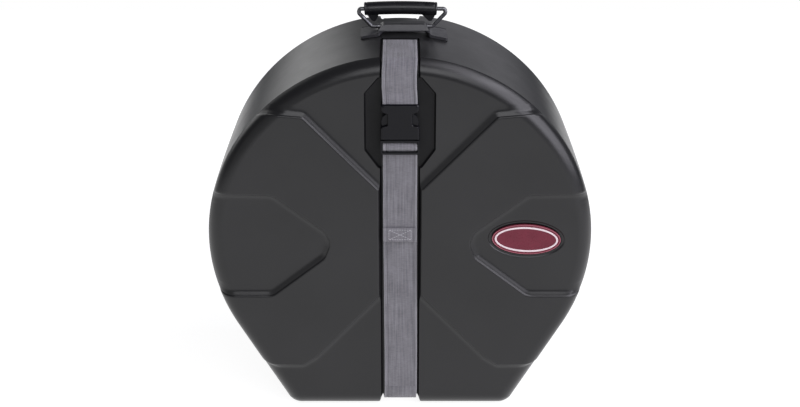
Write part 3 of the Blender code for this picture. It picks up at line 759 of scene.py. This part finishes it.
# ---------------------------------------------------------------- lid
rings = [ring(Y_LID_ROUND, R_LID, H_LID, R_LID_ROUND + 0.5), ring(Y_LID + 0.4, R_LID, H_LID, R_LID_ROUND + 0.5)]
rings.append(ring(Y_LID, R_LID - 0.4, H_LID - 0.4, R_LID_ROUND))
lid = crowned("lid_moulding", R_LID, H_LID, R_LID_ROUND, Y_BACK, 1, RECESS - 0.7, rings)
h_skirt = H_BOTTOM - WALL - 0.5
skirt_rings = [ring(Y_SKIRT, R_SKIRT - 0.7, h_skirt - 0.7, R_CORNER - 3), ring(Y_SKIRT + 0.8, R_SKIRT, h_skirt, R_CORNER - 3), ring(Y_LID + 3, R_SKIRT, h_skirt, R_CORNER - 3)]
cut(lid, [raw("skirt", loft(skirt_rings))], "UNION")
cut(lid, [channel_cut()])
r_in, h_in = R_SKIRT - SKIRT, h_skirt - SKIRT
rings = [ring(Y_SKIRT - 2, r_in, h_in, R_CORNER - 5)]
y_lid_in = Y_BACK - RECESS + 0.7 - WALL
for k in range(7):
    a = math.pi / 2 * k / 6
    inset = 8 * (1 - math.cos(a))
    rings.append(ring(y_lid_in - 8 + 8 * math.sin(a), r_in - inset, h_in - inset, R_CORNER - 5 - 0.5 * inset))
lid_cavity = raw("cut_lid_cavity", loft(rings))
cut(lid_cavity, [channel_slab(CHANNEL_HALF + WALL, WALL)])
cutters = [lid_cavity]
for z0, z1 in ((195, 235), (-235, -195)):
    cutters.append(raw("cut_notch", box((-CHANNEL_HALF - WALL - 1, Y_SKIRT - 3, z0), (CHANNEL_HALF + WALL + 1, Y_LID - 0.2, z1))))
cut(lid, cutters)
dress(lid, INSIDE, "lid", "lid_shell", smooth=28)

# ---------------------------------------------------------------- foam lining
room = channel_slab(29.0, WALL + 0.45)


def copy_of(ob):
    twin = bpy.data.objects.new("copy", ob.data.copy())
    bpy.context.scene.collection.objects.link(twin)
    return twin


wall_foam = raw("base_foam_lining", loft([ring(y, r, h, 12, arc=90, corner=6) for y, r, h in ((-83.7, 218.2, 220.5), (64.2, 218.2, 220.5), (65.0, 217.4, 219.7))]))
hollow_rings = [(-90, 210.0, 208.4), (63.4, 210.0, 208.4), (65.2, 211.6, 210.0), (70, 211.6, 210.0)]
hollow = raw("cut_hollow", loft([ring(y, r, h, 9, arc=90, corner=6) for y, r, h in hollow_rings]))
cut(
    wall_foam,
    [
        hollow,
        raw("cut_strap", box((-22.0, -26, 214.9), (22.0, 70, 230))),
        raw("cut_screws", box((X_BRACKET - 57, -8, 208.5), (X_BRACKET + 57, 36, 230))),
        copy_of(room),
    ],
)
dress(wall_foam, FOAM, "case", "base_foam_wall")
pad = raw("base_foam_floor", loft([ring(y, r, h, 12, arc=90, corner=6) for y, r, h in ((-92.0, 217.3, 212.2), (-84.0, 217.3, 212.2))]))
cut(pad, [copy_of(room)])
dress(pad, FOAM, "case", "base_foam_pad")
lid_pad = raw("lid_foam_lining", loft([ring(y, r, h, 9, arc=90, corner=6) for y, r, h in ((91.2, 206.6, 209.0), (92.2, 207.6, 210.0), (99.4, 207.6, 210.0))]))
cut(lid_pad, [room])
dress(lid_pad, FOAM, "lid", "lid_foam_pad")


# ---------------------------------------------------------------- handle
def arc_z(r, x):
    return math.sqrt(r * r - x * x)


SLOPE = -0.028
r_foot = radius_at(Y_HANDLE) + 0.3


def foot(d, lift, hand):
    x = X_BRACKET + hand * d
    return (x, arc_z(r_foot + lift, x))


front_view = []
for hand in (1, -1):
    under = [(X_BRACKET + hand * 24.5, 227.3), (X_BRACKET + hand * 27.0, 226.0)]
    under += [foot(d, 0, hand) for d in (31.5, 36.0, 41.0, 46.0, FOOT_HALF)]
    over = [foot(d, 3.3, hand) for d in (FOOT_HALF, 46.0, 41.0, 36.0, 33.2)]
    over += [foot(31.6, 3.9, hand), (X_BRACKET + hand * 30.4, arc_z(r_foot + 4.9, X_BRACKET + hand * 30.4))]
    over += [(X_BRACKET + hand * 26.4, 233.6), (X_BRACKET + hand * 25.2, 234.5), (X_BRACKET + hand * 23.4, 235.0)]
    front_view += (under + over)[::hand]
plan = [(-25, 11), (-28.5, 20), (-30, 21), (2 - FOOT_HALF, 21), (-FOOT_HALF, 19)]
plan = plan + [(x, -y) for x, y in plan[::-1]]
plan = plan + [(-x, y) for x, y in plan[::-1]]
plan = rounded(plan, [1.5, 2, 2, 1.5, 1.5, 1.5, 1.5, 2, 2, 1.5, 1.5, 2, 2, 1.5, 1.5, 1.5, 1.5, 2, 2, 1.5], steps=4)
bm = loft([[(X_BRACKET + x, Y_HANDLE + y, z) for x, y in plan] for z in (212.0, 240.0)])
plan_solid = raw("cut_plan", bm)
bm = prism_y(front_view, -24, 24)
for v in bm.verts:
    v.co.z += SLOPE * v.co.y
    v.co.y += Y_HANDLE
bracket = raw("handle_bracket_moulding", bm)
cut(bracket, [plan_solid], "INTERSECT")
leaning = [(-24, 205), (-24, 228.6), (-10.9, 228.6), (-6.9, 236.2), (6.9, 236.2), (10.9, 228.6), (24, 228.6), (24, 205)]
cut(bracket, [raw("cut_hump", prism_x([(Y_HANDLE + y, z + SLOPE * y) for y, z in leaning], 75))], "INTERSECT")
grooves = [raw("cut_groove", box((X_BRACKET - 23.2, Y_HANDLE - 6.0, 232.9), (X_BRACKET + 23.2, Y_HANDLE - 3.2, 237)))]
for hand in (1, -1):
    line = [foot(d, 2.1, hand) for d in (31.0, 36.0, 41.0, 46.0, FOOT_HALF - 1.2)]
    line += [foot(d, 7.0, hand) for d in (FOOT_HALF - 1.2, 46.0, 41.0, 36.0, 31.0)]
    grooves.append(raw("cut_groove", prism_y(line[::hand], Y_HANDLE + 17.0, Y_HANDLE + 19.4)))
cut(bracket, grooves)
bevel(bracket, 0.7, 3, 32)
bores = [
    raw("cut_bore", cylinder(WIRE + 0.4, 22, (X_BRACKET + h * 21.5, Y_HANDLE, Z_PIVOT), (1, 0, 0), 24)) for h in (-1, 1)
]
cut(bracket, bores)
dress(bracket, BLACK, "case", "handle_bracket", smooth=30)


def tube(path, radius, sides=20, up=(0, 1, 0)):
    """A round bar along a path; radius may be a list, one for each point."""
    rings = []
    up = Vector(up)
    for i, p in enumerate(path):
        a = Vector(path[max(0, i - 1)])
        b = Vector(path[min(len(path) - 1, i + 1)])
        along = (b - a).normalized()
        side = up.cross(along).normalized()
        over = along.cross(side)
        r = radius[i] if isinstance(radius, list) else radius
        rings.append(
            [
                Vector(p) + r * (math.cos(t) * side + math.sin(t) * over)
                for t in (2 * math.pi * k / sides for k in range(sides))
            ]
        )
    return loft(rings)


leg = rounded(
    [(16, Y_HANDLE, Z_PIVOT), (36.0, Y_HANDLE, Z_PIVOT), (51.5, Y_HANDLE, 247.6), (50.0, Y_HANDLE, Z_GRIP), (45.4, Y_HANDLE, Z_GRIP)],
    [0, 3.6, 3.2, 2.4, 0],
    steps=10,
)


def grip_line(x):
    return (X_GRIP + x, Y_HANDLE, Z_GRIP + GRIP_ARCH * (1 - (x / GRIP_HALF) ** 2))


arch = [grip_line(GRIP_HALF * (1 - 2 * i / 24)) for i in range(25)]
wire = [(X_BAIL + x, y, z) for x, y, z in leg] + arch[1:-1] + [(X_BAIL - x, y, z) for x, y, z in leg[::-1]]
place("handle_wire", tube(wire, WIRE, 20), STEEL, "handle", "handle_bail", smooth=50)

ends = []
radii = []
for t, r in ((-1.0, 6.9), (-0.985, 7.6), (-0.97, 7.8), (-0.955, 7.8), (-0.945, 7.45), (-0.925, 7.45), (-0.915, 7.75)):
    ends.append(t)
    radii.append(r)
for k in range(1, 40):
    t = -0.915 + 1.83 * k / 40
    ends.append(t)
    radii.append(7.75)
for t, r in ((0.915, 7.75), (0.925, 7.45), (0.945, 7.45), (0.955, 7.8), (0.97, 7.8), (0.985, 7.6), (1.0, 6.9)):
    ends.append(t)
    radii.append(r)
grip = raw("handle_grip_sleeve", tube([grip_line(GRIP_HALF * t) for t in ends], radii, 40))
WEB_RIGHT = [(23.5, 247.4), (41.5, 247.4), (39.8, 243.0), (36.4, 237.9), (33.2, 237.9)]
WEB_LEFT = [(-41.5, 247.4), (-37.8, 243.0), (-33.6, 238.2), (-30.9, 237.6), (-28.6, 239.2), (-25.3, 247.4)]
webs = []
for points in (WEB_RIGHT, WEB_LEFT):
    webs.append(raw("web", prism_y([(X_GRIP + x, z) for x, z in points], Y_HANDLE - 2.2, Y_HANDLE + 2.2)))
    bevel(webs[-1], 0.5, 2)
cut(grip, webs, "UNION")
bore_path = [(X_GRIP + GRIP_HALF + 4, Y_HANDLE, Z_GRIP)] + arch + [(X_GRIP - GRIP_HALF - 4, Y_HANDLE, Z_GRIP)]
cut(grip, [raw("cut_grip_bore", tube(bore_path, WIRE + 0.3, 24))])
dress(grip, GRIP, "handle", "handle_grip", smooth=40)

# ---------------------------------------------------------------- buckle
Y_B0, Y_B1 = -108.0, -97.3
waist = [
    (22.3, Z_MOUTH), (22.3, 147.0), (21.4, 149.5), (14.6, 150.5), (14.6, 166.5), (20.6, 168.3), (21.8, 170.0),
    (21.8, Z_BUCKLE - 1.5), (20.3, Z_BUCKLE),
]
waist = rounded(waist + [(-x, z) for x, z in waist[::-1]], [0.8, 3, 2, 3.5, 3.5, 1.5, 1, 0.8, 0.8] + [0.8, 0.8, 1, 1.5, 3.5, 3.5, 2, 3, 0.8], steps=5)
sections = ((Y_B1, 1.0, 1.0), (Y_B0 + 2.8, 1.0, 1.0), (Y_B0 + 2.0, 0.99, 0.985), (Y_B0 + 1.2, 0.97, 0.96), (Y_B0 + 0.5, 0.93, 0.93), (Y_B0, 0.86, 0.89))
female = raw("buckle_socket", loft([[(x * s, y, (z - 155) * t + 155) for x, z in waist] for y, s, t in sections]))
cut(
    female,
    [
        raw("cut_throat", box((-17.7, -105.2, 120), (17.7, -99.9, 165.8))),
        raw("cut_loop", box((-20.2, -105.2, 167.6), (20.2, -90, 182))),
    ],
)
bevel(female, 0.35, 2, 35)
cut(female, [raw("bar", cylinder(1.6, 42, (0, -101.2, 172.5), (1, 0, 0), 24))], "UNION")
dress(female, BUCKLE, "case", "buckle_female", smooth=30)

frame_plan = [
    (-22.2, 115.6), (22.2, 115.6), (22.2, 132.5), (17.3, 132.6), (17.3, 134.5), (-17.3, 134.5), (-17.3, 132.6), (-22.2, 132.5),
]
male = raw("buckle_plug", prism_y(rounded(frame_plan, [2.2, 2.2, 0.8, 0, 0.5, 0.5, 0, 0.8], steps=4), -106.6, -99.0))
cut(
    male,
    [
        raw("cut_window", box((-20.2, -120, 118.2), (20.2, -90, 130.4))),
        raw("cut_front", box((-30, -120, 132.7), (30, -104.8, 140))),
        raw("cut_back", box((-30, -100.3, 132.7), (30, -90, 140))),
        raw("cut_under", box((-20.2, -102.6, 110), (20.2, -90, 118.6))),
    ],
)
bevel(male, 0.35, 2, 35)
cut(
    male,
    [
        raw("bar", loft([[(x, -101.6 + 2.5 * math.cos(a), 124.3 + 2.9 * math.sin(a)) for a in (2 * math.pi * k / 24 for k in range(24))] for x in (-21, 21)])),
        raw("tongue", box((-3.8, -104.2, 134.0), (3.8, -100.9, 158.0))),
    ],
    "UNION",
)
dress(male, BUCKLE, "buckle_half", "buckle_male", smooth=30)
PRONG = [
    (10.0, 134.9), (12.6, 134.9), (13.5, 135.5), (15.5, 143), (16.9, 149.0), (17.1, 150.1), (20.8, 150.4),
    (21.3, 156), (19.2, 161.5), (14.8, 165.0), (10.8, 165.0), (11.8, 160), (13.6, 154), (12.3, 147), (10.0, 140), (9.2, 135.5),
]
for hand, points in (("right", PRONG), ("left", mirrored(PRONG))):
    prong = raw(f"prong_{hand}", prism_y(rounded(points, 0.35, steps=3), -104.6, -100.6))
    bevel(prong, 0.3, 2, 50)
    dress(prong, BUCKLE, f"prong_{hand}", f"buckle_prong_{hand}", smooth=30)


# ---------------------------------------------------------------- webbing
def webbing(name, path, body, replaced, sway=lambda s: 0.0):
    """Webbing along a path in the plane of y and z, with full edges and a sunk line
    inside each. The run attribute holds (across, along, 0) in metres."""
    pts = [Vector(path[0])]
    for p in path[1:]:
        p = Vector(p)
        step = (p - pts[-1]).length
        for k in range(1, max(1, round(step / 4.0)) + 1):
            pts.append(pts[-1].lerp(p, 1 / (max(1, round(step / 4.0)) - k + 1)))
    half = STRAP / 2
    cross = [
        (-1.0, 0.0), (-0.995, 0.62), (-0.975, 0.92), (-0.93, 1.0), (-0.86, 0.95), (-0.82, 0.72), (-0.78, 0.72),
        (-0.74, 0.93), (-0.5, 0.97), (-0.25, 0.98), (0.0, 1.0), (0.25, 0.98), (0.5, 0.97), (0.74, 0.93), (0.78, 0.72),
        (0.82, 0.72), (0.86, 0.95), (0.93, 1.0), (0.975, 0.92), (0.995, 0.62), (1.0, 0.0),
    ]
    cross = cross + [(u, -t) for u, t in cross[-2:0:-1]]
    bm = bmesh.new()
    layer = bm.verts.layers.float_vector.new("run")
    rows = []
    along = 0.0
    for i, p in enumerate(pts):
        if i:
            along += (p - pts[i - 1]).length
        e = (p - pts[i - 1]).normalized() if i else (pts[1] - p).normalized()
        f = (pts[i + 1] - p).normalized() if i + 1 < len(pts) else e
        m = (Vector((e.y, -e.x)) + Vector((f.y, -f.x))).normalized()
        m = m / max(0.5, m.dot(Vector((e.y, -e.x))))
        row = []
        for u, t in cross:
            q = p + m * (t * WEB / 2)
            v = bm.verts.new((u * half + sway(q.y), q.x, q.y))
            v[layer] = (u * half * MM, along * MM, 0)
            row.append(v)
        rows.append(row)
    n = len(cross)
    for a, b in zip(rows, rows[1:]):
        for i in range(n):
            j = (i + 1) % n
            bm.faces.new((a[i], a[j], b[j], b[i]))
    bm.faces.new(rows[0][::-1])
    bm.faces.new(rows[-1])
    return place(name, bm, WEBBING, body, replaced, smooth=60)


Y_WEB = Y_FACE + CHANNEL - LIFT
Z_WEB_TOP = Z_TOP_CHANNEL + LIFT
Z_WEB_REAR = Z_REAR_CHANNEL + LIFT
Z_WEB_LOW = Z_LOW_CHANNEL - LIFT
Y_WEB_BACK = Y_BACK - CHANNEL + LIFT
loop = [(-101.2 + 2.75 * math.cos(a), 172.5 + 2.75 * math.sin(a)) for a in (math.pi * (2 - k / 12) for k in range(13))]
upper = [(Y_WEB, 196.0), (Y_WEB, 190.0), (-98.45, 179.0)] + loop
upper += [(-103.95, 179.0), (Y_WEB - 1.9, 190.0), (Y_WEB - 1.9, 198.5)]
over = rounded(
    [(Y_WEB, 207.0), (Y_WEB, Z_WEB_TOP), (-20.0, Z_WEB_TOP), (-15.8, Z_WEB_REAR), (Y_RIM - 0.3, Z_WEB_REAR)],
    [0, 14.9, 2.0, 2.0, 0],
)
webbing(
    "strap_upper", upper + over, "case", "strap_upper_run",
    lambda z: -0.9 * min(1.0, max(0.0, (z - 182) / 12)) * min(1.0, max(0.0, (224 - z) / 12)),
)
webbing(
    "strap_rear",
    rounded(
        [(Y_LID + 0.1, Z_WEB_REAR), (Y_WEB_BACK, Z_WEB_REAR), (Y_WEB_BACK, Z_WEB_LOW), (Y_LID + 0.1, Z_WEB_LOW)],
        [0, 13.0, 13.0, 0],
    ),
    "lid",
    "strap_rear_run",
)
webbing(
    "strap_bottom", rounded([(Y_RIM - 0.3, Z_WEB_LOW), (Y_WEB, Z_WEB_LOW), (Y_WEB, -196.0)], [0, 14.9, 0]), "case", "strap_bottom_run",
    lambda z: 0.9 * min(1.0, max(0.0, (z + 217.6) / 18)),
)
lower = webbing("strap_lower", [(Y_WEB, -195.7), (Y_WEB, 116.9)], None, "strap_lower_run", lambda z: 0.9 * min(1.0, max(0.0, -z / 150)))
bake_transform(lower)
turn = [(-101.7 + 3.9 * math.cos(a), 124.3 + 4.4 * math.sin(a)) for a in (math.pi * k / 16 for k in range(17))]
webbing(
    "strap_tail_end",
    [(Y_WEB, 117.2)] + turn + rounded([(-105.6, 124.3), (-105.4, 121.6), (-100.1, 116.6), (-100.1, 3.4), (-102.0, 3.4), (-102.0, 21.0)], [0, 1.6, 2.5, 0.9, 0.9, 0])[1:],
    "buckle_half",
    "strap_tail",
)

bm = bmesh.new()


def stitches(a, b):
    """A row of short threads from a to b on the face of the strap's folded end."""
    a, b = Vector(a), Vector(b)
    n = max(1, round((b - a).length / 3.0))
    for k in range(n):
        p, q = a.lerp(b, (k + 0.14) / n), a.lerp(b, (k + 0.86) / n)
        across = Vector((p.y - q.y, q.x - p.x)).normalized() * 0.32
        rows = []
        for w, deep in ((1.0, -102.75), (1.0, -103.0), (0.45, -103.2)):
            rows.append([bm.verts.new((c.x, deep, c.y)) for c in (p - across * w, q - across * w, q + across * w, p + across * w)])
        for lower, higher in zip(rows, rows[1:]):
            for i in range(4):
                bm.faces.new((lower[i], lower[(i + 1) % 4], higher[(i + 1) % 4], higher[i]))
        bm.faces.new(rows[0][::-1])
        bm.faces.new(rows[-1])


corners = [(-13, 6.2), (13, 6.2), (13, 18.6), (-13, 18.6)]
for i in range(4):
    stitches(corners[i], corners[(i + 1) % 4])
stitches(corners[0], corners[2])
stitches(corners[1], corners[3])
place("tail_stitches", bm, THREAD, "buckle_half", ())

# ---------------------------------------------------------------- badge
def oval(d, y):
    return [(x, Y_FIELD + y, z) for x, z in ellipse(40.6 - d, 19.3 - d)]


rim = raw("badge_plate", loft([oval(0, 1.1), oval(0, -0.7), oval(0.15, -1.0), oval(0.5, -1.2), oval(1.0, -1.2), oval(1.25, -1.02), oval(6, -0.95)]))
dress(rim, RED, "case", "emblem_plate", smooth=50)
for name, colour, section in (
    ("badge_line", SILVER, ((3.2, -0.9), (3.25, -1.2), (3.45, -1.3), (5.2, -1.3), (5.4, -1.2), (5.45, -0.9))),
    # The pale pink line on the plate's rounded outer edge is a painted highlight.
    ("badge_highlight_line", EDGE_HIGHLIGHT, ((0.3, -1.0), (0.35, -1.22), (0.5, -1.3), (0.95, -1.3), (1.1, -1.22), (1.15, -1.0))),
):
    bm = bmesh.new()
    rows = [[bm.verts.new(p) for p in oval(d, y)] for d, y in section]
    for a, b in zip(rows, rows[1:] + rows[:1]):
        for i in range(len(a)):
            j = (i + 1) % len(a)
            bm.faces.new((a[i], a[j], b[j], b[i]))
    place(name, bm, colour, "case", ())

# ---------------------------------------------------------------- plain CAD pieces
for node in ("handle_backing_plate", "handle_screw_1", "handle_screw_2", "handle_screw_3", "handle_screw_4"):
    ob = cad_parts[node]
    ob.data.materials.clear()
    ob.data.materials.append(STEEL)

# ---------------------------------------------------------------- floor
bm = bmesh.new()
bmesh.ops.create_grid(bm, x_segments=1, y_segments=1, size=1)
for v in bm.verts:
    v.co = Vector((-0.6 + v.co.x * 2.1, -0.4 + v.co.y * 2.0, 0))
mesh = bpy.data.meshes.new("floor")
bm.to_mesh(mesh)
bm.free()
floor = bpy.data.objects.new("floor", mesh)
floor.location = (0, 0, -0.0005)
bpy.context.scene.collection.objects.link(floor)
paper = Nodes("paper_white", (0.3, 0.3, 0.3), 0.9, Specular_IOR_Level=0.0)
paper.shader.inputs["Emission Color"].default_value = (1, 1, 1, 1)
paper.shader.inputs["Emission Strength"].default_value = 0.88
mesh.materials.append(paper.material)
